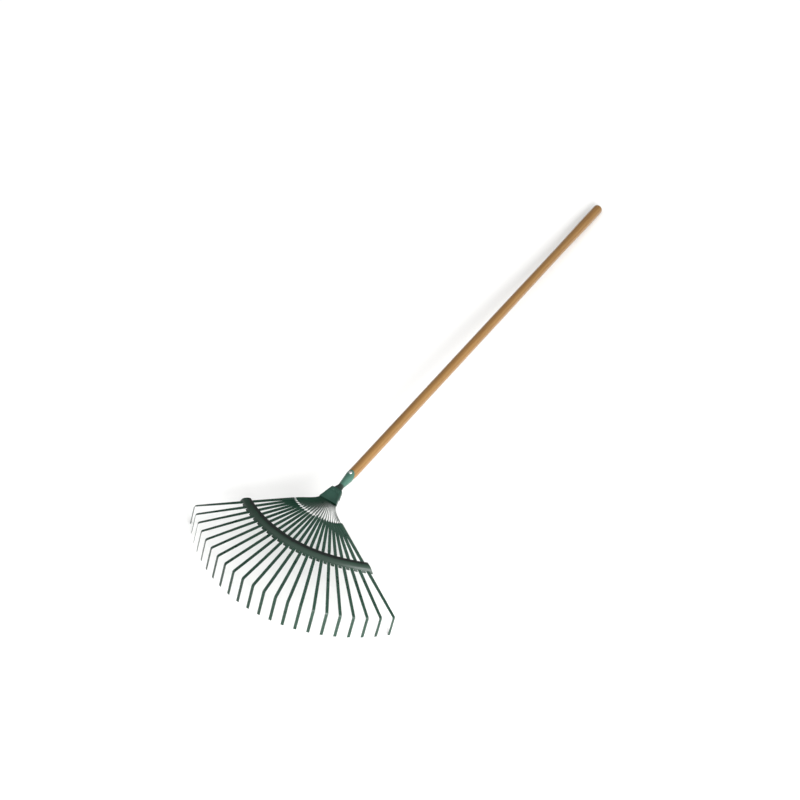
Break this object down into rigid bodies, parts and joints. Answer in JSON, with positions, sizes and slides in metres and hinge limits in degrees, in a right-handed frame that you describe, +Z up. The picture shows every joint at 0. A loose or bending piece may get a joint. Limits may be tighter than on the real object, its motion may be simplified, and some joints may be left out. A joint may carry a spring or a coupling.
{
  "type": "leaf rake",
  "caption": "Leaf rake: flat spring-steel tines fanned from a pressed steel clamp, arched spreader bar, rolled socket and long turned wooden handle.",
  "frame": {"origin": "middle of the rake's footprint, on the floor it lies on", "axes": "+Z up from the floor, +Y along the floor towards the handle's butt, +X across the head to the right seen from above with the butt up"},
  "size_m": [0.563, 1.5699, 0.1263],
  "materials": {
    "tine_enamel": "thin dark green enamel, satin, on spring-steel strip",
    "spreader_enamel": "dark green enamel, satin, on pressed steel sheet",
    "clamp_enamel": "dark green enamel, satin, on pressed steel sheet",
    "socket_enamel": "green enamel, semi-gloss, on rolled steel sheet",
    "fastener_enamel": "green enamel over steel wire and rivets",
    "zinc_plate": "bright zinc plate",
    "varnished_ash": "clear varnish on turned ash, fine grain along the handle"
  },
  "bodies": {
    "root": {"tine_01": "tine_enamel", "tine_02": "tine_enamel", "tine_03": "tine_enamel", "tine_04": "tine_enamel", "tine_05": "tine_enamel", "tine_06": "tine_enamel", "tine_07": "tine_enamel", "tine_08": "tine_enamel", "tine_09": "tine_enamel", "tine_10": "tine_enamel", "tine_11": "tine_enamel", "tine_12": "tine_enamel", "tine_13": "tine_enamel", "tine_14": "tine_enamel", "tine_15": "tine_enamel", "tine_16": "tine_enamel", "tine_17": "tine_enamel", "tine_18": "tine_enamel", "tine_19": "tine_enamel", "tine_20": "tine_enamel", "tine_21": "tine_enamel", "tine_22": "tine_enamel", "tine_keeper_pin": "fastener_enamel", "spreader_bar": "spreader_enamel", "spreader_backing_strip": "spreader_enamel", "clamp_upper_shell": "clamp_enamel", "clamp_lower_shell": "clamp_enamel", "clamp_rivets": "fastener_enamel", "socket": "socket_enamel", "socket_screw": "zinc_plate", "handle": "varnished_ash"}
  },
  "joints": []
}
